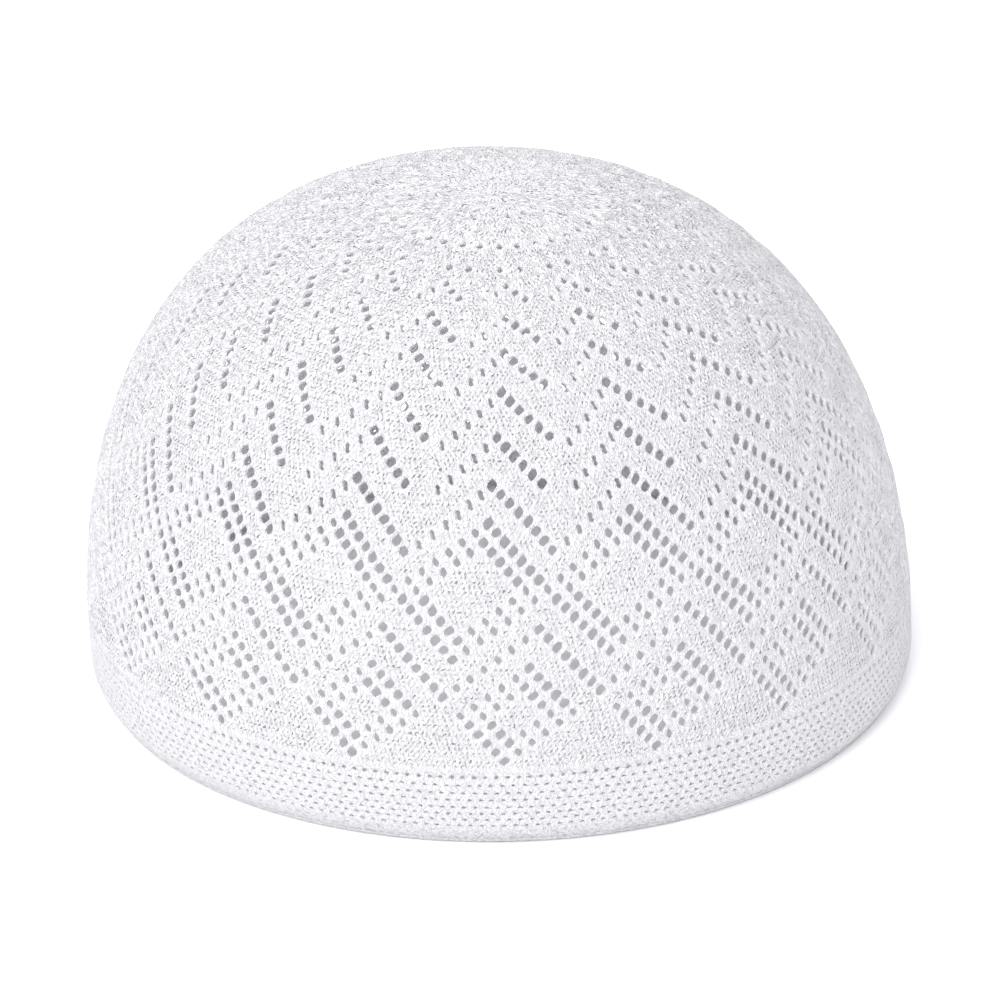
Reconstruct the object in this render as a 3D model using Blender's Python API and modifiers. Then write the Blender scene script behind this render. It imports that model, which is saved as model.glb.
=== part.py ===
# Openwork knitted prayer cap, standing by itself on its rim.
# Metres, +Z up. The origin is the middle of the rim, on the surface that the cap stands on;
# +X runs along the head, which is the long way of the oval, and -Y is the side that faces the viewer.
#
# The cap is two pieces of knitting: the crown, a dome pierced by a zigzag of eyelets, and the rim band,
# the close net at its foot. Both follow one outline, so that the band runs on from the crown.

from math import atan2, cos, pi, radians, sin

import bmesh
import bpy
from mathutils import Matrix, Vector

# Outer form of the whole cap
HALF_LENGTH = 0.0950        # widest half of the oval, along the head
HALF_DEPTH = 0.0814         # widest half of the oval, across the head
HEIGHT = 0.1181             # rim to the top of the dome
WIDEST_HEIGHT = 0.0058      # height at which the cap is widest
RIM_TUCK = 0.0032           # how far the rim draws in under the widest place
FLANK_FULLNESS = 2.51       # 2 is an ellipse; more makes the flanks fuller
TOP_FULLNESS = 2.17         # 2 is an ellipse; more makes the top flatter

# The cloth
CROWN_WALL = 0.0013         # thickness of the plain knit
BAND_WALL = 0.0016          # thickness of the net band
BAND_HEIGHT = 0.0190        # rim to the band's upper edge
JOIN_GAP = 0.0003           # clearance between the two pieces of knitting

# The lace
REPEATS = 17                # times that the pattern goes round the cap
COLUMNS_PER_REPEAT = 14     # eyelet columns in one repeat, peak to peak
ZIGZAG_ROWS = 7             # eyelet rows between a valley and a peak
ROW_PITCH = 0.00216         # distance between eyelet rows, measured up the cloth
ZIGZAG_FOOT = 0.0500        # distance up the cloth from the band to the valleys
COURSE_SLANT = 0.15         # columns that the knitting leans over for each row
EYELET_WIDTH = 0.0024       # corner to corner, round the cap
EYELET_HEIGHT = 0.0026      # corner to corner, up the cloth
EYELETS_PER_ZIGZAG = 6      # gaps cut in one repeat, evenly along the zigzag from peak to peak

# Fineness of the mesh
STEPS_ROUND = 4 * REPEATS   # facets round the cap
CROWN_RINGS = 16            # facets from the band to the top
BAND_RINGS = 4              # facets from the rim to the band's upper edge
OUTLINE_STEPS = 400         # short steps used to measure along the outline
SHARP_ANGLE = radians(40)   # edges sharper than this are shaded as edges

COTTON_WHITE = (0.93, 0.925, 0.94, 1.0)
BAND_WHITE = (0.91, 0.905, 0.925, 1.0)
MERGE_DISTANCE = 0.00005


def outline_radius(z):
    """Radius of the outline along the head at height z."""
    if z < WIDEST_HEIGHT:
        return HALF_LENGTH - RIM_TUCK * (1.0 - sin(0.5 * pi * z / WIDEST_HEIGHT))
    rise = min((z - WIDEST_HEIGHT) / (HEIGHT - WIDEST_HEIGHT), 1.0)
    return HALF_LENGTH * (1.0 - rise ** TOP_FULLNESS) ** (1.0 / FLANK_FULLNESS)


def crown_outline(count):
    """The crown's outline from the top down to the band, as (radius, height), in even turns of the dome."""
    foot = BAND_HEIGHT + JOIN_GAP
    points = []
    for step in range(count + 1):
        turn = 0.5 * pi * step / count
        z = foot + (HEIGHT - foot) * cos(turn) ** (2.0 / TOP_FULLNESS)
        points.append((outline_radius(z), z))
    return points


def height_up_cloth(distance):
    """Height of the point that lies a distance up the cloth from the crown's foot."""
    outline = crown_outline(OUTLINE_STEPS)[::-1]
    walked = 0.0
    for (r0, z0), (r1, z1) in zip(outline, outline[1:]):
        length = Vector((r1 - r0, z1 - z0)).length
        if walked + length >= distance:
            return z0 + (z1 - z0) * (distance - walked) / length
        walked += length
    return HEIGHT


def oval_point(radius, angle, z, depth=0.0):
    """Point of the oval cap at an angle round it, a depth inside the outer face measured square to it."""
    share = radius / HALF_LENGTH
    outer = Vector((HALF_LENGTH * share * cos(angle), HALF_DEPTH * share * sin(angle), z))
    outward = Vector((cos(angle) / HALF_LENGTH, sin(angle) / HALF_DEPTH, 0.0)).normalized()
    return outer - outward * depth


def wall_frame(angle, z):
    """Place on the outer face with its axes: round the cap, up the cloth and straight out."""
    turn, lift = radians(0.5), 0.0005
    place = oval_point(outline_radius(z), angle, z)
    across = oval_point(outline_radius(z), angle + turn, z) - oval_point(outline_radius(z), angle - turn, z)
    across.normalize()
    above = oval_point(outline_radius(z + lift), angle, z + lift)
    below = oval_point(outline_radius(z - lift), angle, z - lift)
    outward = across.cross(above - below).normalized()
    up = outward.cross(across)
    axes = Matrix((across, up, outward)).transposed().to_4x4()
    return Matrix.Translation(place) @ axes


def material(name, colour, roughness):
    made = bpy.data.materials.new(name)
    made.use_nodes = True
    shader = made.node_tree.nodes["Principled BSDF"]
    shader.inputs["Base Color"].default_value = colour
    shader.inputs["Roughness"].default_value = roughness
    shader.inputs["Metallic"].default_value = 0.0
    return made


def collection(name):
    made = bpy.data.collections.new(name)
    bpy.context.scene.collection.children.link(made)
    return made


def turned_mesh(name, profile, closed):
    """Mesh of a profile in the XZ plane turned once round Z. The profile runs top to bottom outside."""
    line = bpy.data.meshes.new(name + "_profile")
    edges = [(i, i + 1) for i in range(len(profile) - 1)]
    if closed:
        edges.append((len(profile) - 1, 0))
    line.from_pydata([(r, 0.0, z) for r, z in profile], edges, [])
    turned = bpy.data.objects.new(name + "_profile", line)
    bpy.context.scene.collection.objects.link(turned)
    screw = turned.modifiers.new("Turn", "SCREW")
    screw.steps = STEPS_ROUND
    screw.render_steps = STEPS_ROUND
    screw.use_merge_vertices = True
    screw.merge_threshold = MERGE_DISTANCE
    bpy.context.view_layer.update()
    depsgraph = bpy.context.evaluated_depsgraph_get()
    mesh = bpy.data.meshes.new_from_object(turned.evaluated_get(depsgraph))
    mesh.name = name
    bpy.data.objects.remove(turned)
    return mesh


def make_oval(mesh):
    """Move the points of a turned mesh from the round plan to the oval one, keeping the wall's thickness."""
    for vertex in mesh.vertices:
        x, y, z = vertex.co
        radius = outline_radius(z)
        vertex.co = oval_point(radius, atan2(y, x), z, radius - Vector((x, y)).length)


def add_piece(name, mesh, look, home):
    piece = bpy.data.objects.new(name, mesh)
    mesh.materials.append(look)
    mesh.shade_smooth()
    mesh.set_sharp_from_angle(angle=SHARP_ANGLE)
    home.objects.link(piece)
    return piece


def make_crown(home, look):
    """The dome: an open turned sheet made oval, thickened inwards."""
    mesh = turned_mesh("crown", crown_outline(CROWN_RINGS), closed=False)
    make_oval(mesh)
    crown = add_piece("crown", mesh, look, home)
    wall = crown.modifiers.new("Knit thickness", "SOLIDIFY")
    wall.thickness = CROWN_WALL
    wall.offset = -1.0
    wall.use_even_offset = True
    return crown


def make_rim_band(home, look):
    """The net band: a closed strip section turned and made oval, with a flat foot to stand on."""
    heights = [BAND_HEIGHT * step / BAND_RINGS for step in range(BAND_RINGS + 1)]
    outside = [(outline_radius(z), z) for z in reversed(heights)]
    inside = [(outline_radius(z) - BAND_WALL, z) for z in heights]
    mesh = turned_mesh("rim_band", outside + inside, closed=True)
    make_oval(mesh)
    return add_piece("rim_band", mesh, look, home)


def zigzag_places():
    """Column and row of each cut eyelet in one repeat, along the zigzag from a peak to the next."""
    places = []
    for eyelet in range(EYELETS_PER_ZIGZAG):
        share = eyelet / EYELETS_PER_ZIGZAG
        places.append((COLUMNS_PER_REPEAT * share, ZIGZAG_ROWS * abs(1.0 - 2.0 * share)))
    return places


def cut_eyelets(crown, home):
    """Cut the zigzag of eyelets through the crown with one mesh of four-sided prisms."""
    cutter_mesh = bpy.data.meshes.new("eyelet_cutter")
    prisms = bmesh.new()
    column_turn = 2.0 * pi / (REPEATS * COLUMNS_PER_REPEAT)
    reach = 4.0 * CROWN_WALL
    for repeat in range(REPEATS):
        for column, row in zigzag_places():
            z = height_up_cloth(ZIGZAG_FOOT + ROW_PITCH * row)
            angle = column_turn * (repeat * COLUMNS_PER_REPEAT + column + COURSE_SLANT * row)
            shape = Matrix.Diagonal((0.5 * EYELET_WIDTH, 0.5 * EYELET_HEIGHT, reach, 1.0))
            bmesh.ops.create_cone(
                prisms, cap_ends=True, segments=4, radius1=1.0, radius2=1.0, depth=1.0,
                matrix=wall_frame(angle, z) @ shape)
    bmesh.ops.recalc_face_normals(prisms, faces=prisms.faces)
    prisms.to_mesh(cutter_mesh)
    prisms.free()
    cutter = bpy.data.objects.new("eyelet_cutter", cutter_mesh)
    cutter.hide_render = True
    cutter.display_type = "WIRE"
    home.objects.link(cutter)
    cut = crown.modifiers.new("Eyelets", "BOOLEAN")
    cut.operation = "DIFFERENCE"
    cut.solver = "EXACT"
    cut.object = cutter


def main():
    for old in list(bpy.data.objects):
        bpy.data.objects.remove(old)
    cap = collection("prayer_cap")
    cutters = collection("cutters")
    crown = make_crown(cap, material("crown_knit", COTTON_WHITE, 0.85))
    cut_eyelets(crown, cutters)
    make_rim_band(cap, material("band_net", BAND_WHITE, 0.85))


main()
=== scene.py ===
# Openwork knitted prayer cap: the finished look, made around the solid model.
# Metres, +Z up, -Y towards the viewer. A distance is measured over the cloth from the gathered centre,
# in half lengths of the cap. An azimuth is in degrees from the viewer, growing to the right.

from math import atan, cos, pi, radians, sin

import bpy
import numpy as np
from mathutils import Matrix, Vector
from mathutils.geometry import delaunay_2d_cdt
from mathutils.kdtree import KDTree


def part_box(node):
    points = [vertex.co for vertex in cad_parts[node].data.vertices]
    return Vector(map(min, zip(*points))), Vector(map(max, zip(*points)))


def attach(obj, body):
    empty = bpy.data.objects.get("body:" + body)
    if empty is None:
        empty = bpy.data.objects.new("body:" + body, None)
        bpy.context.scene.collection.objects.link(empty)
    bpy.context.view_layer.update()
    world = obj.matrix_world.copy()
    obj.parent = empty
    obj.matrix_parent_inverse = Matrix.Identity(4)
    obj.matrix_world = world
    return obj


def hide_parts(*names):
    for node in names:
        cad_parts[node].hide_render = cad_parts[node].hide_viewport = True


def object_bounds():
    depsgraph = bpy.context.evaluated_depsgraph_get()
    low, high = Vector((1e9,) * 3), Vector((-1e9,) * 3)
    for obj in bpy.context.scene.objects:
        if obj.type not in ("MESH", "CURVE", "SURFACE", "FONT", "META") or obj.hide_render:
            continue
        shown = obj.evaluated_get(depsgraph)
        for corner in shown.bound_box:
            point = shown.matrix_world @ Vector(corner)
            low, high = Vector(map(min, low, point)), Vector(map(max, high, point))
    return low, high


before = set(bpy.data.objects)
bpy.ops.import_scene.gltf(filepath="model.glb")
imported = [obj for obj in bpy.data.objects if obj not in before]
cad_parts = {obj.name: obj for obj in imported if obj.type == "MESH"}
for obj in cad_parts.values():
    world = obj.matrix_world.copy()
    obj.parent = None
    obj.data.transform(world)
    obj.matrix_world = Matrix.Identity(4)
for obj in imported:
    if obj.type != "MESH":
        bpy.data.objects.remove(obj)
cad_low, cad_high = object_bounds()
band_low, band_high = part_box("rim_band")

# Outer form, the same as the solids'
HALF_LENGTH = (cad_high.x - cad_low.x) / 2
HALF_DEPTH = (cad_high.y - cad_low.y) / 2
HEIGHT = cad_high.z
JOIN_HEIGHT = band_high.z   # where the net band ends and the crown starts
WIDEST_HEIGHT = 0.0058
RIM_TUCK = 0.0032
FLANK_FULLNESS = 2.51
TOP_FULLNESS = 2.17
OUTLINE_STEPS = 3000        # short steps along the outline, from the centre to the widest height
FOOT_STEPS = 79             # and from there to the rim

# The viewer stands this far round from the front of the oval
VIEW_TURN = radians(11.4)

# The gathered centre sits beside the dome's own top; the lace drifts back to the oval within the reach
CENTRE_X = 0.053
CENTRE_Y = -0.059
CENTRE_REACH = 1.1
UPPER_SHARE = 0.98          # share of the way to the widest place in which heights allow for that drift

# The cloth, in metres
CLOTH = 0.0011              # thickness of the knitting
ROLL = 0.00022              # how far the yarn rolls in at an eyelet's edge
LIP = 0.00026               # distance from an eyelet's edge to the top of its lip
LIP_ROUNDER = 0.15          # a lip is this much rounder than its eyelet
PUFF = 0.00018              # plain knit stands this proud of the eyelet runs
PUFF_REACH = 0.0032         # distance from an eyelet over which the cloth rises to that
DIMPLE = 0.00011            # depth of the tiny gap between stitches
DIMPLE_REACH = 0.0009       # distance from an eyelet over which it gets that deep
DIMPLE_END = 0.010          # distance from the join, in half lengths, at which the dimples end
# within these two reaches the gaps between stitches get no painted shade
CALM_REACH = 0.0013         # distance from an eyelet within which the yarn lies too close for dark gaps
JOIN_REACH = 0.008          # the same from the join of crown and band, in half lengths
OUTER_THROUGH = 0.28        # share of the light that passes the outer face of the cloth
INNER_THROUGH = 0.70        # and the inner face
PARTING_THIN = (1.0 - OUTER_THROUGH) / (INNER_THROUGH - OUTER_THROUGH)

# The lace chart
REPEATS = 17
TURN = 360.0 / REPEATS
COLUMNS = 14                # eyelet columns in a repeat
ROW_ZERO = 1.3786           # distance of chart row 0
ROW = 0.02252               # pitch of chart rows
KNEE = 1.04                 # nearer the centre than this the knitting narrows
START = -2.3                # azimuth of column 0 at the knee
LOW_LEAN = -17.9            # degrees that the columns lean per half length, below the knee
HIGH_LEAN = -7.0            # the same above the knee
# Uneven pull of the knitting: distance, share by which it is pulled round to the front
PULL = ((0.0, -.065), (0.45, -.06), (0.60, -.04), (0.70, -.01), (0.85, .02), (1.05, .015), (1.35, 0.0),
        (1.60, -.05), (1.85, -.06))
PULL_TRIES = 4              # rounds in which the pull is undone

# Diamonds: middle column, middle row, half size in rows
DIAMONDS = ((7, 5, 5), (7, 5, 3), (0, -8, 7), (0, -8, 5))
# The lattice zigzag under the large diamonds: peak column, peak row, eyelets on either side of the peak
LATTICE_ZIGZAG = (7, -4, 8, 6)
# Zigzags of the crown: distance of the peak, then for each side the eyelets, columns a step, pitch a step,
# and last the size of the eyelets
ZIGZAGS = (
    (.9465, 8, 0.96, .0234, 6, 1.00, .0245, 1.00),
    (.8236, 6, 1.02, .0249, 5, 1.08, .0272, 0.98),
    (.7040, 6, 1.18, .0247, 5, 1.18, .0285, 0.94),
    (.5950, 5, 1.40, .0228, 4, 1.42, .0270, 0.90),
    (.4930, 4, 1.75, .0215, 3, 1.75, .0262, 0.84),
    (.3910, 3, 2.05, .0220, 2, 2.15, .0250, 0.70),
)
# Rings of small holes round the centre: distance, columns
SMALL_RINGS = ((.333, (-1.5, 3.9)), (.243, (-1.6, 5.0)))
# Loose small holes at the centre: distance, azimuth
CENTRE_HOLES = ((.058, -4), (.107, 15), (.082, -31), (.107, 36), (.106, 56), (.201, -73), (.187, -123),
                (.190, -103), (.158, -112), (.169, 152), (.120, 178), (.150, 95))

# Eyelet shapes: half width and half height in metres, lean (sideways per height),
# roundness (1 is a diamond, 2 an oval)
EYELETS = {
    "\\": (.00106, .00116, .20, 1.55),
    "/": (.00058, .00104, -.24, 2.5),
    "x": (.00080, .00104, -.14, 1.35),
    "o": (.00080, .00092, .10, 1.2),
}
# Share of its width by which the yarn presses in on an eyelet's two sides
WAIST = {"\\": 0.04, "/": 0.38, "x": 0.14, "o": 0.12}
WAIST_DRAW = (0.5, 1.3)     # range of that from eyelet to eyelet
TIP = 0.26                  # share of its height by which the yarn at most pulls out an eyelet's two tips
TIP_DRAW = (-0.3, 1.0)      # range of that from eyelet to eyelet
SHAKE = 0.6                 # how uneven an outline is, as a share of the variety
BAR = 0.00045               # yarn left between neighbouring eyelets
NEIGHBOURS = 6              # eyelets round each that it has to leave room for
# How holes are cut: points round, distance to the top of the lip, variety, how far the yarn rolls in
LACE_CUT = (12, LIP, 0.11, ROLL)
NET_CUT = (6, 0.00022, 0.12, 0.5 * ROLL)

# The stitches
STITCHES = 28               # across a repeat below the knee
STITCH_ROWS = 2             # in a chart row
DRAWN = 0.27                # nearer than this to the centre the stitches are drawn out
DRAWN_RATE = 0.45           # and there are this many rows for one elsewhere

# The net band: rows of holes, as heights above the rim, and the holes round
NET_ROWS = (.01765, .0156, .0137, .0120, .0102, .0086, .0071, .0056)
NET_HOLES = 250
NET_HOLE = (.00052, .00031, .10, 1.4)    # shape, as the eyelets'
NET_SHIFT = 0.06            # degrees that a hole may sit off its place
FIRST_NET_ROW = 1.6         # the holes of the first row are this many times as tall
STRIP_ROWS = (.0044, .0033, .0022)    # heights of plain stitch rows below the net
PAST_ROWS = 4               # rows that the stitches are counted on for below the net

# Cast-off edge at the rim
CORD_RADIUS = 0.0007
CORD_STITCHES = 240
CORD_RINGS = 4              # rings of points in a stitch
CORD_SIDES = 10
CORD_WAVE = 0.1             # share of the radius by which the stitches stand out
CORD_LIFT = 1.02            # height of the cord's middle, in radii
CORD_LEVEL = 1.05           # height in radii at which the cloth gives the cord's course
CORD_TURN = 2               # stitch rows round the cord

# The mesh. Clearances in metres:
LIP_CLEAR = 0.00012         # of lips from other eyelets
PLAIN_CLEAR = 0.00016       # of plain points from lips
POINT_CLEAR = 0.00024       # of all these points from each other
# and in half lengths:
JOIN_CLEAR = 0.0035         # of all these points from the join
RIM_CLEAR = 0.010           # of all these points from the rim
RIM_END = 0.006             # of the cloth's last line from the rim
CENTRE_END = 0.07           # of the stitches' points from the centre
JOIN_ROWS = 0.4             # least stitch rows between the last stitches' points and the join
REPEAT_CLEAR = 0.22         # least stitches between a row's last point and the next repeat, above the knee
CENTRE_RINGS = 5            # plain rings of points at the centre
RING_POINTS = 6             # points that each has more than the last
NEAR_HOLES = 3              # eyelets that a point is held against
NEAR_ROUNDER = 0.2          # and how much rounder they count for that
MERGE = 1e-9                # points of the flat map as near as this become one
TINY = 1e-12                # keeps a length from being nought

# Pieces of the crown: distances at which the zigzags and the diamonds start
ZIGZAGS_START = 0.66
DIAMONDS_START = 1.03

# Looks: name, colour, colour of the painted shade in the gaps between stitches, how much it shows, height
# of the relief
CROWN_LOOK = ("crown_knit_cotton", (.975, .968, .978), (.16, .16, .18), 0.85, 0.00042)
# the band is the crown's white cotton, greyed as painted shade so that the band shows darker
BAND_LOOK = ("band_net_cotton_shaded", (.835, .828, .84), (.35, .35, .38), 0.35, 0.00040)
YARN_ROUGHNESS = 0.9
THROUGH_COLOUR = (0.93, 0.93, 0.95, 1.0)
# Noise, in waves a metre
WANDER_NOISE = 420.0        # stitches off their rows
FRAY_NOISE = 1500.0         # ragged edges of the gaps
UNEVEN_NOISE = 650.0        # gaps that show more or less
GRAIN_NOISE = 2200.0        # fibres
# Strength of each, in stitches across and rows down
LOOSE_ROWS = (-66.0, -92.0)           # stitch rows between which the knitting gets looser
WANDER = 0.5                # below them
WANDER_MORE = 0.95          # added above them
WANDER_DOWN = 1.3           # down for one across
FRAY_ACROSS = 0.6
FRAY_DOWN = 0.9
LEANING = 0.13              # how far a gap leans with the leg of its stitch
# Ramps from not at all to fully, and shares
GAP_RAMP = (0.42, 0.80)     # how near to the gap's middle it shows
OPEN_RAMP = (0.55, 1.0)     # how open the knit is where gaps show
UNEVEN_RAMP = (0.38, 0.62)  # value of the noise at which a gap shows least and most
UNEVEN_LEAST = 0.3
UNEVEN_MORE = 0.75          # added to that where it shows most
ROW_SHARE = 0.8             # strength of the gaps
ROW_MORE = 0.2              # and how far it differs from that, more in one row and less in the next
STRAND_SLOPE = 0.5          # stitches that a strand leans over in a row
# Parts of the relief, as shares of its height
STRAND_RELIEF = 0.28
GAP_RELIEF = 0.9
GRAIN_RELIEF = 0.8

# Floor and light. Suns: azimuth, rise, strength, spread in degrees
FLOOR_HALF = 6.0
FLOOR_DROP = 0.0001         # keeps the floor clear of the rim
FLOOR_COLOUR = (0.97, 0.97, 0.97, 1.0)
FLOOR_ROUGHNESS = 0.9
SKY_COLOUR = (0.955, 0.95, 1.0, 1.0)
SKY_STRENGTH = 0.91
SUNS = {"key": (-42.0, 56.0, 2.65, 65.0), "fill": (50.0, 35.0, 0.25, 70.0)}

# The photograph's camera: it looks from the rise and the distance at the target, which shows at the pixel
CAMERA_RISE = radians(27.83)
CAMERA_DISTANCE = 0.855
CAMERA_TARGET = Vector((0.0, 0.0, 0.057))
CAMERA_ROLL = radians(-2.96)
FOCAL_PIXELS = 3803.1
IMAGE_PIXELS = 1000
TARGET_PIXEL = (488.5, 432.9)
SENSOR = 36.0

SEED = 7


def make_outline():
    """The outline from the centre down to the rim, in half lengths: distance, radius and height."""
    turn = np.linspace(0.0, pi / 2, OUTLINE_STEPS)
    radius = HALF_LENGTH * np.sin(turn) ** (2.0 / FLANK_FULLNESS)
    height = WIDEST_HEIGHT + (HEIGHT - WIDEST_HEIGHT) * np.cos(turn) ** (2.0 / TOP_FULLNESS)
    foot = np.linspace(WIDEST_HEIGHT, 0.0, FOOT_STEPS + 1)[1:]
    foot_radius = HALF_LENGTH - RIM_TUCK * (1.0 - np.sin(pi / 2 * foot / WIDEST_HEIGHT))
    radius = np.concatenate([radius, foot_radius]) / HALF_LENGTH
    height = np.concatenate([height, foot]) / HALF_LENGTH
    step = np.hypot(np.diff(radius), np.diff(height))
    return np.concatenate([[0.0], np.cumsum(step)]), radius, height


def make_flat_map():
    """Distances in a flat map of the dome that keeps angles, so that the cloth can be meshed flat."""
    middles = 0.5 * (RADIUS[1:-1] + RADIUS[2:])
    growth = np.concatenate([[0.0], np.cumsum(np.diff(ARC[1:]) / middles)])
    return np.concatenate([[0.0], ARC[1] * np.exp(growth)])


def arc_at_height(z):
    """Distance of a height on the flank."""
    return np.interp(-z / HALF_LENGTH, -RISE, ARC)


ARC, RADIUS, RISE = make_outline()
FLAT = make_flat_map()
WIDEST = OUTLINE_STEPS - 1
RIM = ARC[-1]
JOIN = float(arc_at_height(JOIN_HEIGHT))
DEPTH_SHARE = HALF_DEPTH / HALF_LENGTH


def dome(azimuth, arc):
    """Points of the smooth outer face, in metres, at azimuths and distances."""
    angle = np.radians(azimuth) - pi / 2 + VIEW_TURN
    radius = np.interp(arc, ARC, RADIUS)
    near = np.clip(1.0 - (arc / CENTRE_REACH) ** 2, 0.0, None) ** 2
    x = radius * np.cos(angle) + CENTRE_X * near
    y = DEPTH_SHARE * radius * np.sin(angle) + CENTRE_Y * near
    spread = np.hypot(x, y / DEPTH_SHARE)
    upper = np.interp(spread, RADIUS[:WIDEST + 1], RISE[:WIDEST + 1])
    z = np.where(arc < ARC[WIDEST] * UPPER_SHARE, upper, np.interp(arc, ARC, RISE))
    return np.stack([x, y, z], -1) * HALF_LENGTH


def tangents(azimuth, arc):
    """Change of place for a degree of azimuth and for a unit of distance, and the outward normal."""
    turn, step, nearest = 0.05, 0.0008, 0.004
    arc = np.clip(arc, nearest, RIM - step)
    across = (dome(azimuth + turn, arc) - dome(azimuth - turn, arc)) / (2 * turn)
    down = (dome(azimuth, arc + step) - dome(azimuth, arc - step)) / (2 * step)
    outward = np.cross(down, across)
    outward /= np.linalg.norm(outward, axis=-1, keepdims=True)
    return across, down, outward


def flat(azimuth, arc):
    """Place in the flat map."""
    spread = np.interp(arc, ARC, FLAT)
    return np.stack([spread * np.cos(np.radians(azimuth)), spread * np.sin(np.radians(azimuth))], -1)


def ring_azimuths(count, shift=0.0):
    """Azimuths evenly round the cap, shifted by a share of their pitch."""
    return 360.0 * (np.arange(count) + shift) / count


def pull(azimuth, arc):
    """Degrees that the uneven knitting is pulled round at an azimuth."""
    share = np.interp(arc, [row[0] for row in PULL], [row[1] for row in PULL])
    return np.degrees(share * np.sin(np.radians(azimuth)))


def lean(arc):
    """Degrees that the columns have leaned over at a distance."""
    return np.where(arc > KNEE, LOW_LEAN, HIGH_LEAN) * (arc - KNEE)


def column_azimuth(column, arc):
    """Azimuth of a chart column at a distance."""
    plain = START + TURN * column / COLUMNS + lean(arc)
    return plain + pull(plain, arc)


def azimuth_column(azimuth, arc):
    """The chart column at an azimuth: the other way round."""
    plain = azimuth
    for _ in range(PULL_TRIES):
        plain = azimuth - pull(plain, arc)
    return (plain - START - lean(arc)) * COLUMNS / TURN


def diamond(column, row, half):
    """Eyelets of one diamond: column, row and kind."""
    for k in range(half):
        yield column + k, row - half + k, "\\"
        yield column + half - k, row + k, "x"
        yield column - k, row + half - k, "\\"
        yield column - half + k, row - k, "x"


def chart():
    """All eyelets of one repeat: column, distance, kind and size."""
    lattice = []
    for column, row, half in DIAMONDS:
        for eyelet in diamond(column, row, half):
            if eyelet[0] > -COLUMNS / 2:   # neighbours share the tip at the side
                lattice.append(eyelet)
    column, row, down, other = LATTICE_ZIGZAG
    lattice += [(column + k, row + k, "\\") for k in range(down)]
    lattice += [(column - k, row + k, "x") for k in range(1, other + 1)]
    holes = [(column, ROW_ZERO + ROW * row, kind, 1.0) for column, row, kind in lattice]
    for peak, down, down_step, down_pitch, up, up_step, up_pitch, size in ZIGZAGS:
        holes += [(k * down_step, peak + k * down_pitch, "\\", size) for k in range(down)]
        holes += [(-k * up_step, peak + k * up_pitch, "/", size) for k in range(1, up + 1)]
    for distance, columns in SMALL_RINGS:
        holes += [(column, distance, "o", 1.0) for column in columns]
    return holes


def eyelet_outline(half_width, half_height, slant, roundness, points, turn=0.0):
    """Outline of an eyelet as sideways and downward offsets."""
    angle = np.linspace(0.0, 2 * pi, points + 1)[:-1] + turn
    side = np.sign(np.cos(angle)) * np.abs(np.cos(angle)) ** (2.0 / roundness) * half_width
    fall = np.sign(np.sin(angle)) * np.abs(np.sin(angle)) ** (2.0 / roundness) * half_height
    return np.stack([side - slant * fall, fall], -1)


def place_outline(azimuth, arc, outline):
    """Azimuths and distances of an outline laid on the cloth at a point."""
    across, down, _ = tangents(np.array([azimuth]), np.array([arc]))
    across, down = across[0], down[0]
    width = np.linalg.norm(across)
    skew = np.dot(down, across) / width
    height = np.sqrt(max(np.dot(down, down) - skew ** 2, TINY))
    fall = outline[:, 1] / height
    side = (outline[:, 0] - fall * skew) / width
    return azimuth + side, arc + fall


class Cloth:
    """Points of the cloth in azimuth and distance, with the eyelet that each belongs to."""

    def __init__(self):
        self.azimuth = []
        self.arc = []
        self.sink = []      # how far both faces stand off there; less than nought draws them in
        self.hole = []      # number of its eyelet, or -1
        self.edges = []
        self.centres = []   # one row for each eyelet: place, half width, half height, slant, roundness
        self.count = 0

    def add(self, azimuth, arc, sink=0.0, hole=-1):
        azimuth, arc = np.broadcast_arrays(np.atleast_1d(azimuth), np.atleast_1d(arc))
        self.azimuth.append(azimuth.astype(float))
        self.arc.append(arc.astype(float))
        self.sink.append(np.full(len(azimuth), sink))
        self.hole.append(np.full(len(azimuth), hole))
        self.count += len(azimuth)

    def add_loop(self, azimuth, arc, sink=0.0, hole=-1):
        first, size = self.count, len(azimuth)
        self.add(azimuth, arc, sink, hole)
        self.edges += [(first + k, first + (k + 1) % size) for k in range(size)]

    def arrays(self):
        return [np.concatenate(part) for part in (self.azimuth, self.arc, self.sink, self.hole)]


def add_hole(cloth, rng, azimuth, arc, shape, cut, fit=1.0, waist=0.0):
    """An eyelet with its own small differences. Gives the points of the lip round it."""
    half_width, half_height, slant, roundness = shape
    points, lip, variety, roll = cut
    size = fit * (1.0 + variety * rng.uniform(-1, 1, 2))
    slant += variety * rng.uniform(-1, 1)
    width, height = half_width * size[0], half_height * size[1]
    edge = eyelet_outline(width, height, slant, roundness, points)
    tip = TIP * (1.0 - 2.0 * waist)
    for point in (points // 4, -points // 4):
        edge[point] *= 1.0 + tip * rng.uniform(*TIP_DRAW)
    for point in (0, points // 2):
        edge[point] *= 1.0 - waist * rng.uniform(*WAIST_DRAW)
    edge += rng.uniform(-1, 1, edge.shape) * variety * SHAKE * half_width
    cloth.add_loop(*place_outline(azimuth, arc, edge), -roll, len(cloth.centres))
    cloth.centres.append((azimuth, arc, width, height, slant, roundness))
    outer = eyelet_outline(width + lip, height + lip, slant, roundness + LIP_ROUNDER, points, pi / points)
    return place_outline(azimuth, arc, outer)


def cloth_axes(azimuth, arc):
    """Sideways and downward directions on the cloth."""
    across, down, outward = tangents(azimuth, arc)
    side = across / np.linalg.norm(across, axis=1, keepdims=True)
    fall = np.cross(side, outward)
    fall *= np.sign(np.sum(fall * down, axis=1, keepdims=True))
    return side, fall


def reach_of(shapes, side, fall):
    """How far eyelets of these shapes reach from their middles in a direction."""
    half_width, half_height, slant, roundness = shapes.T
    power = roundness / (roundness - 1.0)
    total = np.abs(side * half_width) ** power + np.abs((fall - slant * side) * half_height) ** power
    return total ** (1.0 / power)


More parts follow.
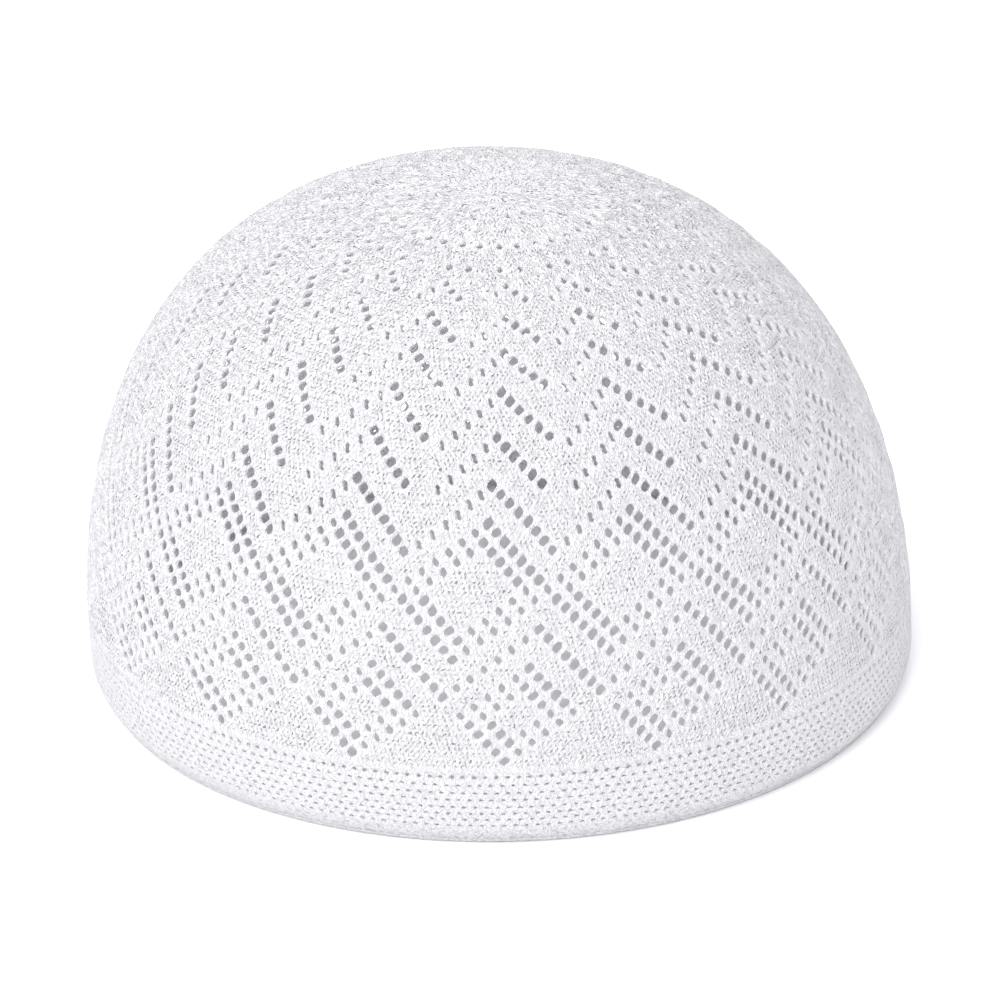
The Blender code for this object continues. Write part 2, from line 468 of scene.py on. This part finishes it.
def room_between(azimuth, arc, shapes):
    """Scale for each eyelet that leaves a bar of yarn between it and its neighbours."""
    places = dome(azimuth, arc)
    side, fall = cloth_axes(azimuth, arc)
    near = nearest_numbers(places, places, NEIGHBOURS + 1)[:, 1:]
    fit = np.ones(len(places))
    for other in near.T:
        way = places[other] - places
        apart = np.linalg.norm(way, axis=1)
        way /= apart[:, None]
        along_side, along_fall = np.sum(way * side, axis=1), np.sum(way * fall, axis=1)
        both = reach_of(shapes, along_side, along_fall) + reach_of(shapes[other], along_side, along_fall)
        fit = np.minimum(fit, (apart - BAR) / both)
    return fit


def add_lace(cloth, rng):
    """Every eyelet of the crown, as large as its neighbours leave room for. Gives the lips round them."""
    eyelets = []
    for repeat in range(REPEATS):
        for column, arc, kind, size in chart():
            half_width, half_height, slant, roundness = EYELETS[kind]
            azimuth = float(column_azimuth(column + repeat * COLUMNS, arc))
            shape = (half_width * size, half_height * size, slant, roundness)
            eyelets.append((azimuth, arc, shape, WAIST[kind]))
    eyelets += [(azimuth, arc, EYELETS["o"], WAIST["o"]) for arc, azimuth in CENTRE_HOLES]
    azimuths, arcs, shapes, _ = zip(*eyelets)
    fits = room_between(np.array(azimuths), np.array(arcs), np.array(shapes))
    return [add_hole(cloth, rng, azimuth, arc, shape, LACE_CUT, fit, waist)
            for fit, (azimuth, arc, shape, waist) in zip(fits, eyelets)]


def add_net(cloth, rng):
    """The small holes of the rim band. Gives the lips round them."""
    lips = []
    half_width, half_height, slant, roundness = NET_HOLE
    for number, height in enumerate(NET_ROWS):
        arc = float(arc_at_height(height))
        taller = FIRST_NET_ROW if number == 0 else 1.0
        shape = (half_width, half_height * taller, slant, roundness)
        for azimuth in ring_azimuths(NET_HOLES, 0.5 * (number % 2)):
            shift = rng.uniform(-NET_SHIFT, NET_SHIFT)
            lips.append(add_hole(cloth, rng, azimuth + shift, arc, shape, NET_CUT))
    return lips


def stitches_round(arc):
    """Stitches in a repeat at a distance."""
    narrowed = np.interp(arc, ARC, RADIUS) / np.interp(KNEE, ARC, RADIUS)
    return STITCHES * np.where(arc > KNEE, 1.0, narrowed)


def add_stitch_points(cloth):
    """Plain points on the stitches: in each row, one in every gap between stitches and one between gaps."""
    pitch = ROW / STITCH_ROWS
    first = int(np.ceil((CENTRE_END - ROW_ZERO) / pitch))
    last = int(np.floor((JOIN - JOIN_ROWS * pitch - ROW_ZERO) / pitch))
    for row in range(first, last + 1):
        arc = ROW_ZERO + pitch * row
        across = float(stitches_round(arc))
        half = int((across / 2 - REPEAT_CLEAR) * 2)
        places = np.arange(-half, half + 1) / 2
        if across >= STITCHES:
            places = np.arange(-STITCHES, STITCHES) / 2
        for repeat in range(REPEATS):
            column = COLUMNS * (places / across + repeat)
            cloth.add(column_azimuth(column, arc), arc)
    for ring in range(1, CENTRE_RINGS + 1):
        cloth.add(ring_azimuths(RING_POINTS * ring), ring * pitch)
    cloth.add(0.0, 0.0)


def add_band_points(cloth):
    """Plain points of the rim band, between the rows of net and on the strip below them."""
    rows = [arc_at_height(z) for z in NET_ROWS]
    for number, (above, below) in enumerate(zip(rows, rows[1:])):
        cloth.add(ring_azimuths(NET_HOLES, 0.25 + 0.5 * (number % 2)), 0.5 * (above + below))
    for z in STRIP_ROWS:
        cloth.add(ring_azimuths(2 * NET_HOLES, 0.5), arc_at_height(z))


def grow_tree(points):
    """A tree for finding the nearest of some points."""
    tree = KDTree(len(points))
    for number, point in enumerate(points):
        tree.insert(point, number)
    tree.balance()
    return tree


def nearest_numbers(targets, points, count):
    """Numbers of the targets nearest to each point, nearest first."""
    tree = grow_tree(targets)
    return np.array([[hit[1] for hit in tree.find_n(point, count)] for point in points])


def inside_holes(cloth, azimuth, arc, margin):
    """Which points lie in or too near to an eyelet."""
    centres = np.array(cloth.centres)
    places = dome(centres[:, 0], centres[:, 1])
    side, fall = cloth_axes(centres[:, 0], centres[:, 1])
    _, _, half_width, half_height, slant, roundness = centres.T
    points = dome(azimuth, arc)
    bad = np.zeros(len(points), bool)
    for pick in nearest_numbers(places, points, NEAR_HOLES).T:
        offset = points - places[pick]
        down_way = np.sum(offset * fall[pick], axis=1)
        side_way = np.sum(offset * side[pick], axis=1) + slant[pick] * down_way
        power = roundness[pick] + NEAR_ROUNDER
        reach = (np.abs(side_way) / (half_width[pick] + margin)) ** power
        reach += (np.abs(down_way) / (half_height[pick] + margin)) ** power
        bad |= reach < 1.0
    return bad


def thin_out(points, gap):
    """Keep points that are at least a gap from the ones kept before them."""
    tree = grow_tree(points)
    keep = np.ones(len(points), bool)
    for number, point in enumerate(points):
        if keep[number]:
            for _, other, _ in tree.find_range(point, gap):
                if other > number:
                    keep[other] = False
    return keep


def distance_to(targets, points):
    """Metres from each point to the nearest target."""
    tree = grow_tree(targets)
    return np.array([tree.find(point)[2] for point in points])


def lay_out():
    """All points of the cloth and the triangles between them."""
    rng = np.random.default_rng(SEED)
    cloth = Cloth()
    lips = add_lace(cloth, rng)
    lips += add_net(cloth, rng)
    # closed lines: the join of band and crown, and the end of the cloth above the rim
    for arc in (JOIN, RIM - RIM_END):
        cloth.add_loop(ring_azimuths(2 * NET_HOLES), arc)
    plain = Cloth()
    for azimuth, arc in lips:
        plain.add(azimuth, arc)
    lip_count = plain.count
    add_stitch_points(plain)
    add_band_points(plain)
    azimuth, arc, _, _ = plain.arrays()
    bad = inside_holes(cloth, azimuth, arc, LIP_CLEAR)
    bad[lip_count:] |= inside_holes(cloth, azimuth[lip_count:], arc[lip_count:], LIP + PLAIN_CLEAR)
    bad |= np.abs(arc - JOIN) < JOIN_CLEAR
    bad |= arc > RIM - RIM_CLEAR
    azimuth, arc = azimuth[~bad], arc[~bad]
    keep = thin_out(dome(azimuth, arc), POINT_CLEAR)
    cloth.add(azimuth[keep], arc[keep])
    azimuth, arc, sink, hole = cloth.arrays()
    places = [Vector(place) for place in flat(azimuth, arc).tolist()]
    _, _, faces, sources, _, _ = delaunay_2d_cdt(places, cloth.edges, [], 0, MERGE)
    source = np.array([names[0] for names in sources])
    triangles = source[np.array(faces)]
    # a triangle with all its corners on one eyelet's edge is in the eyelet
    owner = hole[triangles]
    same = (owner[:, 0] == owner[:, 1]) & (owner[:, 0] == owner[:, 2])
    triangles = triangles[~(same & (owner[:, 0] >= 0))]
    return azimuth, arc, sink, hole, triangles


def stitch_place(azimuth, arc, repeat=None):
    """Stitch coordinates: across, counted from the middle of the repeat, and down."""
    column = azimuth_column(azimuth, arc) / COLUMNS
    if repeat is None:
        repeat = np.round(column)
    across = (column - repeat) * stitches_round(arc)
    drawn = np.minimum(arc - DRAWN, 0.0) * DRAWN_RATE
    down = (np.maximum(arc, DRAWN) - ROW_ZERO + drawn) / ROW * STITCH_ROWS
    return across, down


def cloth_faces(azimuth, arc, sink, hole):
    """Outer and inner points of the cloth, and how open the knit is there, which sets how much painted
    shade its gaps get.
    """
    smooth = dome(azimuth, arc)
    outward = tangents(azimuth, arc)[2]
    away = distance_to(smooth[(hole >= 0) & (arc < JOIN)], smooth)
    away_net = distance_to(smooth[(hole >= 0) & (arc > JOIN)], smooth)
    rise = np.clip(away / PUFF_REACH, 0.0, 1.0)
    rise = rise * rise * (3.0 - 2.0 * rise)
    across, down = stitch_place(azimuth, arc)
    gaps = np.cos(2 * pi * across) * np.cos(pi * down)
    calm = np.clip(away / DIMPLE_REACH, 0.0, 1.0) * (arc < JOIN - DIMPLE_END)
    relief = PUFF * (rise - 1.0) + sink - DIMPLE * gaps * calm
    outer = smooth + outward * relief[:, None]
    inner_relief = PUFF * (rise - 1.0) - CLOTH - sink
    inner = smooth + outward * inner_relief[:, None]
    gap_shade_share = np.clip(np.where(arc < JOIN, away, away_net) / CALM_REACH, 0.0, 1.0)
    gap_shade_share *= np.clip(np.abs(arc - JOIN) / JOIN_REACH, 0.0, 1.0)
    return outer, inner, gap_shade_share


def edge_keys(edges, count):
    """One number for each edge, the same in both directions."""
    return edges.min(axis=1).astype(np.int64) * count + edges.max(axis=1)


def boundary_edges(triangles, count):
    """Edges that only one triangle has, in that triangle's direction."""
    edges = np.concatenate([triangles[:, [0, 1]], triangles[:, [1, 2]], triangles[:, [2, 0]]])
    _, index, counts = np.unique(edge_keys(edges, count), return_index=True, return_counts=True)
    return edges[index[counts == 1]]


def closed_cloth(triangles, count, real_edges):
    """Triangles of a closed piece: outer face, inner face and walls along every edge, and how thin each is.

    Walls that aren't at an edge of the cloth only part two pieces, so they let all light through.
    """
    rim = boundary_edges(triangles, count)
    a, b = rim[:, 0], rim[:, 1]
    walls = np.concatenate([np.stack([b, a, a + count], -1), np.stack([b, a + count, b + count], -1)])
    parting = np.where(np.isin(edge_keys(rim, count), real_edges), 0.0, PARTING_THIN)
    thin = np.concatenate([np.zeros(len(triangles)), np.ones(len(triangles)), parting, parting])
    return np.concatenate([triangles, triangles[:, ::-1] + count, walls]), thin


def face_vectors(points, triangles):
    """A vector square to each triangle, as long as twice its area."""
    a, b, c = points[triangles[:, 0]], points[triangles[:, 1]], points[triangles[:, 2]]
    return np.cross(b - a, c - a)


def vertex_normals(points, triangles):
    """Smooth normals of the points."""
    vectors = face_vectors(points, triangles)
    normals = np.zeros_like(points)
    for k in range(3):
        np.add.at(normals, triangles[:, k], vectors)
    return normals / np.maximum(np.linalg.norm(normals, axis=1, keepdims=True), TINY)


def corner_places(azimuth, arc, triangles, count):
    """Azimuth and distance of every corner, with no jump across a triangle."""
    point = triangles % count
    turned = azimuth[point]
    first = turned[:, :1]
    turned = first + (turned - first + 180.0) % 360.0 - 180.0
    return turned, arc[point]


def corner_stitches(azimuth, arc, triangles, count):
    """Stitch coordinates of every corner, whole across each triangle."""
    turned, distance = corner_places(azimuth, arc, triangles, count)
    middle = azimuth_column(turned.mean(axis=1), distance.mean(axis=1)) / COLUMNS
    across, down = stitch_place(turned, distance, np.round(middle)[:, None])
    return np.stack([across, down], -1)


def corner_net(azimuth, arc, triangles, count):
    """Net coordinates of the band's corners: holes round, and rows down."""
    turned, distance = corner_places(azimuth, arc, triangles, count)
    rows = [float(arc_at_height(z)) for z in NET_ROWS]
    pitch = rows[-1] - rows[-2]
    steps = [-1, *range(len(rows)), len(rows) - 1 + PAST_ROWS]
    rows = [rows[0] - pitch, *rows, rows[-1] + PAST_ROWS * pitch]
    down = np.interp(distance, rows, steps)
    return np.stack([turned * NET_HOLES / 360.0, down], -1)


def new_object(name, data):
    """An object in the scene."""
    made = bpy.data.objects.new(name, data)
    bpy.context.scene.collection.objects.link(made)
    return made


def new_material(name):
    """A material with its usual nodes."""
    made = bpy.data.materials.new(name)
    made.use_nodes = True
    return made


def add_piece(name, points, triangles, normals, uvs, gap_shade_share, thin, knit):
    """A mesh piece of the cap from some of the cloth's triangles."""
    look, slot, replaced = knit
    used, triangles = np.unique(triangles, return_inverse=True)
    triangles = triangles.reshape(-1, 3)
    mesh = bpy.data.meshes.new(name)
    mesh.from_pydata(points[used].tolist(), [], triangles.tolist())
    layer = mesh.uv_layers.new(name="stitch")
    layer.data.foreach_set("uv", uvs.reshape(-1).astype(np.float32))
    openness = mesh.attributes.new("gap_shade_share", "FLOAT", "POINT")
    openness.data.foreach_set("value", gap_shade_share[used].astype(np.float32))
    thinness = mesh.attributes.new("thin", "FLOAT", "FACE")
    thinness.data.foreach_set("value", thin.astype(np.float32))
    mesh.shade_smooth()
    if normals is not None:
        mesh.normals_split_custom_set_from_vertices(normals[used].tolist())
    mesh.materials.append(look)
    piece = new_object(name, mesh)
    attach(piece, "root")
    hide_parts(replaced)


def knit_material(name, colour, gap_shade_colour, gap_shade_strength, bump):
    """White knitting: painted shade in the tiny gaps between the stitches, slanted strands and a fine fibre
    grain.
    """
    made = new_material(name)
    nodes, links = made.node_tree.nodes, made.node_tree.links
    nodes.clear()
    place = nodes.new("ShaderNodeTexCoord").outputs["Object"]

    def maths(operation, *values, clamp=False):
        node = nodes.new("ShaderNodeMath")
        node.operation = operation
        node.use_clamp = clamp
        for socket, value in zip(node.inputs, values):
            if isinstance(value, (int, float)):
                socket.default_value = value
            else:
                links.new(value, socket)
        return node.outputs[0]

    def plus(first, second):
        return maths("ADD", first, second)

    def times(first, second):
        return maths("MULTIPLY", first, second)

    def times_plus(value, factor, more):
        return maths("MULTIPLY_ADD", value, factor, more)

    def noise(scale, detail):
        node = nodes.new("ShaderNodeTexNoise")
        node.inputs["Scale"].default_value = scale
        node.inputs["Detail"].default_value = detail
        links.new(place, node.inputs["Vector"])
        return node.outputs

    def ramp(value, low, high):
        node = nodes.new("ShaderNodeMapRange")
        node.interpolation_type = "SMOOTHSTEP"
        node.inputs["From Min"].default_value = low
        node.inputs["From Max"].default_value = high
        links.new(value, node.inputs["Value"])
        return node.outputs[0]

    def parts(value):
        node = nodes.new("ShaderNodeSeparateXYZ")
        links.new(value, node.inputs[0])
        return node.outputs

    def attribute(name):
        node = nodes.new("ShaderNodeAttribute")
        node.attribute_name = name
        return node.outputs["Fac"]

    uv = nodes.new("ShaderNodeUVMap")
    uv.uv_map = "stitch"
    stitch_across, stitch_down, _ = parts(uv.outputs[0])
    # the stitches wander a little from their rows, and more towards the gathered centre
    wander = parts(noise(WANDER_NOISE, 0.0)["Color"])
    fray = parts(noise(FRAY_NOISE, 0.0)["Color"])
    loose = times_plus(ramp(stitch_down, *LOOSE_ROWS), WANDER_MORE, WANDER)
    wander_across = times(maths("SUBTRACT", wander[0], 0.5), loose)
    wander_down = times(maths("SUBTRACT", wander[1], 0.5), times(loose, WANDER_DOWN))
    fray_across = times_plus(fray[0], FRAY_ACROSS, -FRAY_ACROSS / 2)
    fray_down = times_plus(fray[1], FRAY_DOWN, -FRAY_DOWN / 2)
    across = plus(plus(stitch_across, wander_across), fray_across)
    down = plus(plus(stitch_down, wander_down), fray_down)
    # each gap is a short stroke that leans with the leg of its stitch
    leaning = times(maths("SINE", times(down, pi)), LEANING)
    gaps_across = maths("COSINE", times(plus(across, leaning), 2 * pi))
    gaps_down = maths("COSINE", times(down, pi))
    dots = times(ramp(times(gaps_across, gaps_down), *GAP_RAMP), times_plus(gaps_down, ROW_MORE, ROW_SHARE))
    uneven = ramp(noise(UNEVEN_NOISE, 1.0)[0], *UNEVEN_RAMP)
    dots = times(dots, times_plus(uneven, UNEVEN_MORE, UNEVEN_LEAST))
    # the painted shade of the gaps only shows where the knit is open
    dots = times(dots, ramp(attribute("gap_shade_share"), *OPEN_RAMP))
    # strands that lean one way in a row and the other way in the next
    zigzag = maths("PINGPONG", down, 1.0)
    strand = maths("SINE", times(plus(across, times(zigzag, STRAND_SLOPE)), 4 * pi))

    height = maths("SUBTRACT", times(strand, STRAND_RELIEF), times(dots, GAP_RELIEF))
    height = plus(height, times(noise(GRAIN_NOISE, 1.0)[0], GRAIN_RELIEF))
    relief = nodes.new("ShaderNodeBump")
    relief.inputs["Strength"].default_value = 1.0
    relief.inputs["Distance"].default_value = bump
    links.new(height, relief.inputs["Height"])

    # painted shade: the gaps between the stitches are darkened towards the gap colour, where the bump also
    # sinks them
    tone = nodes.new("ShaderNodeMix")
    tone.data_type = "RGBA"
    tone.inputs[6].default_value = (*colour, 1.0)
    tone.inputs[7].default_value = (*gap_shade_colour, 1.0)
    links.new(maths("MULTIPLY", dots, gap_shade_strength, clamp=True), tone.inputs[0])
    shader = nodes.new("ShaderNodeBsdfPrincipled")
    shader.inputs["Roughness"].default_value = YARN_ROUGHNESS
    shader.inputs["Specular IOR Level"].default_value = 0.0
    links.new(tone.outputs[2], shader.inputs["Base Color"])
    links.new(relief.outputs[0], shader.inputs["Normal"])
    # light that passes the cloth: little on the outside and more on the inside
    through = nodes.new("ShaderNodeBsdfTranslucent")
    through.inputs["Color"].default_value = THROUGH_COLOUR
    blend = nodes.new("ShaderNodeMixShader")
    links.new(times_plus(attribute("thin"), INNER_THROUGH - OUTER_THROUGH, OUTER_THROUGH), blend.inputs[0])
    links.new(shader.outputs[0], blend.inputs[1])
    links.new(through.outputs[0], blend.inputs[2])
    output = nodes.new("ShaderNodeOutputMaterial")
    links.new(blend.outputs[0], output.inputs[0])
    return made


def make_cap():
    """The knitted cap, cut into pieces so that each mesh stays light. Gives the band's knit."""
    azimuth, arc, sink, hole, triangles = lay_out()
    count = len(azimuth)
    outer, inner, gap_shade_share = cloth_faces(azimuth, arc, sink, hole)
    gap_shade_share = np.concatenate([gap_shade_share, gap_shade_share])
    points = np.concatenate([outer, inner])
    outward = tangents(azimuth, arc)[2][triangles[:, 0]]
    wrong = np.sum(face_vectors(outer, triangles) * outward, axis=1) < 0
    triangles[wrong] = triangles[wrong][:, ::-1]
    real_edges = edge_keys(boundary_edges(triangles, count), count)
    normals = vertex_normals(points, closed_cloth(triangles, count, real_edges)[0])

    middle = arc[triangles].mean(axis=1)
    front = np.cos(np.radians(azimuth[triangles])).mean(axis=1) > 0
    top, net = middle < ZIGZAGS_START, middle >= JOIN
    diamonds = (middle >= DIAMONDS_START) & ~net
    crown = (knit_material(*CROWN_LOOK), "crown_knit", "crown")
    band = (knit_material(*BAND_LOOK), "band_net", "rim_band")
    zones = (
        ("crown_top", top, crown, corner_stitches),
        ("crown_zigzags", ~(top | diamonds | net), crown, corner_stitches),
        ("crown_diamonds_front", diamonds & front, crown, corner_stitches),
        ("crown_diamonds_back", diamonds & ~front, crown, corner_stitches),
        ("rim_band_net", net, band, corner_net),
    )
    for name, mask, knit, corners in zones:
        faces, thin = closed_cloth(triangles[mask], count, real_edges)
        uvs = corners(azimuth, arc, faces, count)
        add_piece(name, points, faces, normals, uvs, gap_shade_share, thin, knit)
    return band


def make_edge_cord(knit):
    """The cast-off edge: a thin cord of slanted stitches along the rim."""
    rings = CORD_STITCHES * CORD_RINGS
    azimuth = ring_azimuths(rings)
    arc = np.full(rings, float(arc_at_height(CORD_RADIUS * CORD_LEVEL)))
    outward = tangents(azimuth, arc)[2]
    centre = dome(azimuth, arc) - outward * CLOTH * 0.5
    centre[:, 2] = CORD_RADIUS * CORD_LIFT
    outward[:, 2] = 0.0
    outward /= np.linalg.norm(outward, axis=1, keepdims=True)
    upward = np.array([0.0, 0.0, 1.0])
    phase = 2 * pi * np.arange(rings) / CORD_RINGS
    points = []
    for side in range(CORD_SIDES):
        turn = 2 * pi * side / CORD_SIDES
        bulge = CORD_RADIUS * (1.0 - CORD_WAVE + CORD_WAVE * np.cos(phase + turn))
        out, up = (bulge * cos(turn))[:, None], (bulge * sin(turn))[:, None]
        points.append(centre + outward * out + upward * up)
    points = np.stack(points, 1).reshape(-1, 3)
    faces, corners = [], []
    for ring in range(rings):
        after = (ring + 1) % rings
        for side in range(CORD_SIDES):
            beside = (side + 1) % CORD_SIDES
            a, b = ring * CORD_SIDES + side, ring * CORD_SIDES + beside
            c, d = after * CORD_SIDES + beside, after * CORD_SIDES + side
            faces += [(a, d, c), (a, c, b)]
            u0, u1 = ring / CORD_RINGS, (ring + 1) / CORD_RINGS
            v0, v1 = CORD_TURN * side / CORD_SIDES, CORD_TURN * (side + 1) / CORD_SIDES
            corners += [(u0, v0), (u1, v0), (u1, v1), (u0, v0), (u1, v1), (u0, v1)]
    closed, solid = np.zeros(len(points)), np.zeros(len(faces))
    add_piece("rim_edge_cord", points, np.array(faces), None, np.array(corners), closed, solid, knit)


def make_floor():
    """Plain pale floor with no far edge in view."""
    mesh = bpy.data.meshes.new("floor")
    signs = ((-1, -1), (1, -1), (1, 1), (-1, 1))
    corners = [(FLOOR_HALF * x, FLOOR_HALF * y, 0.0) for x, y in signs]
    mesh.from_pydata(corners, [], [(0, 1, 2, 3)])
    made = new_material("floor_white")
    shader = made.node_tree.nodes["Principled BSDF"]
    shader.inputs["Base Color"].default_value = FLOOR_COLOUR
    shader.inputs["Roughness"].default_value = FLOOR_ROUGHNESS
    mesh.materials.append(made)
    floor = new_object("floor", mesh)
    floor.location.z = cad_low.z - FLOOR_DROP


def make_camera():
    """The camera, turned so that its target shows where it does in the photograph."""
    data = bpy.data.cameras.new("camera")
    data.sensor_width = SENSOR
    data.lens = FOCAL_PIXELS * SENSOR / IMAGE_PIXELS
    camera = new_object("camera", data)
    away = Vector((sin(VIEW_TURN) * cos(CAMERA_RISE), -cos(VIEW_TURN) * cos(CAMERA_RISE), sin(CAMERA_RISE)))
    right_miss = TARGET_PIXEL[0] - IMAGE_PIXELS / 2
    down_miss = TARGET_PIXEL[1] - IMAGE_PIXELS / 2
    aim = away.to_track_quat("Z", "Y").to_matrix() @ Matrix.Rotation(CAMERA_ROLL, 3, "Z")
    aim = aim @ Matrix.Rotation(atan(right_miss / FOCAL_PIXELS), 3, "Y")
    aim = aim @ Matrix.Rotation(atan(down_miss / FOCAL_PIXELS), 3, "X")
    camera.matrix_world = Matrix.Translation(CAMERA_TARGET + away * CAMERA_DISTANCE) @ aim.to_4x4()
    bpy.context.scene.camera = camera


def make_sun(name, azimuth, rise, strength, spread):
    """A soft distant light from an azimuth and a rise, both in degrees."""
    data = bpy.data.lights.new(name, "SUN")
    data.energy = strength
    data.angle = radians(spread)
    light = new_object(name, data)
    angle = radians(azimuth) - pi / 2 + VIEW_TURN
    source = Vector((cos(angle) * cos(radians(rise)), sin(angle) * cos(radians(rise)), sin(radians(rise))))
    light.rotation_euler = source.to_track_quat("Z", "Y").to_euler()


def make_light():
    """Even studio light from all round, a soft key light at the left and a weak fill at the right."""
    world = bpy.data.worlds.new("studio")
    world.use_nodes = True
    background = world.node_tree.nodes["Background"]
    background.inputs["Color"].default_value = SKY_COLOUR
    background.inputs["Strength"].default_value = SKY_STRENGTH
    scene = bpy.context.scene
    scene.world = world
    for name, settings in SUNS.items():
        make_sun(name, *settings)
    scene.view_settings.view_transform = "Standard"
    scene.view_settings.look = "None"


band_knit = make_cap()
make_edge_cord(band_knit)
make_floor()
make_camera()
make_light()
